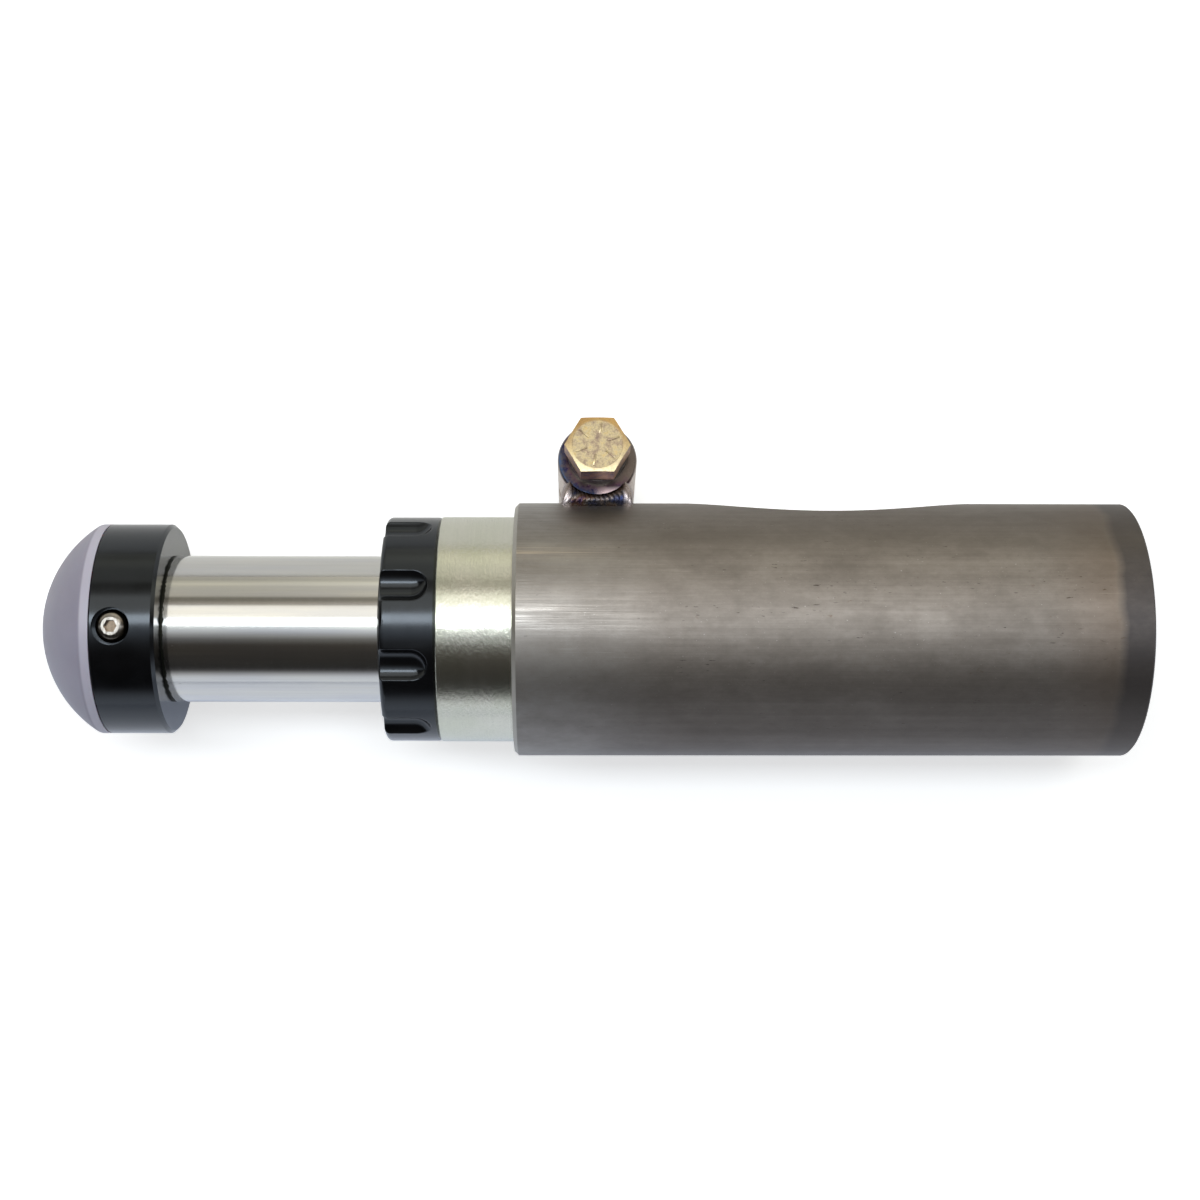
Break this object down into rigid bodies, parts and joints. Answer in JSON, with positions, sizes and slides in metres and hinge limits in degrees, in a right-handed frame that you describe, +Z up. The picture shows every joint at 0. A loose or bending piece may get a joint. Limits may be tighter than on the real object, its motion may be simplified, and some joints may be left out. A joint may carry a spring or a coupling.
{
  "type": "bump stop",
  "caption": "Gas-charged hydraulic bump stop with a domed strike pad on a plated shaft, clamped in a weld-on split can.",
  "frame": {"origin": "centre of the clamp can's base, on the shaft's axis", "axes": "+X along the shaft's axis, from the strike pad to the can's base; +Z up as the part lies on a bench; the clamp boss points along +Y, a little below the axis"},
  "size_m": [0.3038, 0.0946, 0.0714],
  "materials": {
    "raw_steel": "raw drawn tube, brown-grey, streaked along its length",
    "weld_metal": "rippled weld bead with heat colours",
    "yellow_zinc": "yellow passivated zinc",
    "dark_steel": "black oxide",
    "zinc_plate": "bright zinc, brushed round",
    "black_anodised": "black anodised, satin",
    "plain_aluminium": "machined",
    "chrome_plate": "ground hard chrome",
    "pad_plastic": "turned nylon, lavender grey",
    "seal_rubber": "moulded",
    "bearing_plastic": "turned",
    "bronze": "machined",
    "spring_steel": "ground"
  },
  "bodies": {
    "clamp_can": {"can_tube": "raw_steel", "can_end_ring": "raw_steel", "end_ring_weld": "weld_metal", "clamp_boss_near": "raw_steel", "clamp_boss_far": "raw_steel", "boss_weld_near": "weld_metal", "boss_weld_far": "weld_metal", "pinch_bolt": "yellow_zinc", "lock_washer": "dark_steel"},
    "damper": {"body_tube": "zinc_plate", "body_end_cap": "plain_aluminium", "end_cap_seal": "seal_rubber", "snap_ring": "dark_steel", "valve_stem": "bronze", "valve_core": "bronze", "valve_cap": "bearing_plastic", "seal_head": "black_anodised", "seal_head_seal": "seal_rubber", "wiper_seal": "seal_rubber", "shaft_seal": "seal_rubber", "backup_ring": "bearing_plastic", "shaft_bush": "bronze"},
    "valve_plunger": {"valve_pin": "bronze"},
    "bore_runner": {"piston_band": "bearing_plastic"},
    "shaft": {"shaft_tube": "chrome_plate", "cap_end_plug": "plain_aluminium", "piston_end_plug": "plain_aluminium", "pad_cap": "black_anodised", "pad_screws": "dark_steel", "cap_bolt": "dark_steel", "strike_pad": "pad_plastic", "top_out_bumper": "seal_rubber", "stop_plate": "spring_steel", "shim_spacer": "spring_steel", "rebound_shims": "spring_steel", "piston": "plain_aluminium", "compression_shims": "spring_steel", "clamp_washer": "spring_steel", "piston_bolt": "dark_steel"}
  },
  "joints": [
    {"name": "body_adjust", "type": "slide", "parent": "clamp_can", "child": "damper", "axis": [-1, 0, 0], "range_m": [0, 0.03]},
    {"name": "shaft_stroke", "type": "slide", "parent": "damper", "child": "bore_runner", "axis": [1, 0, 0], "range_m": [0, 0.0508], "stiffness_N_per_m": 1500, "springref_m": -0.02},
    {"name": "shaft_spin", "type": "hinge", "parent": "bore_runner", "child": "shaft", "pos_m": [-0.2, 0, 0], "axis": [1, 0, 0], "continuous": true},
    {"name": "valve_press", "type": "slide", "parent": "damper", "child": "valve_plunger", "axis": [-1, 0, 0], "range_m": [0, 0.0012], "stiffness_N_per_m": 400, "springref_m": -0.001}
  ]
}
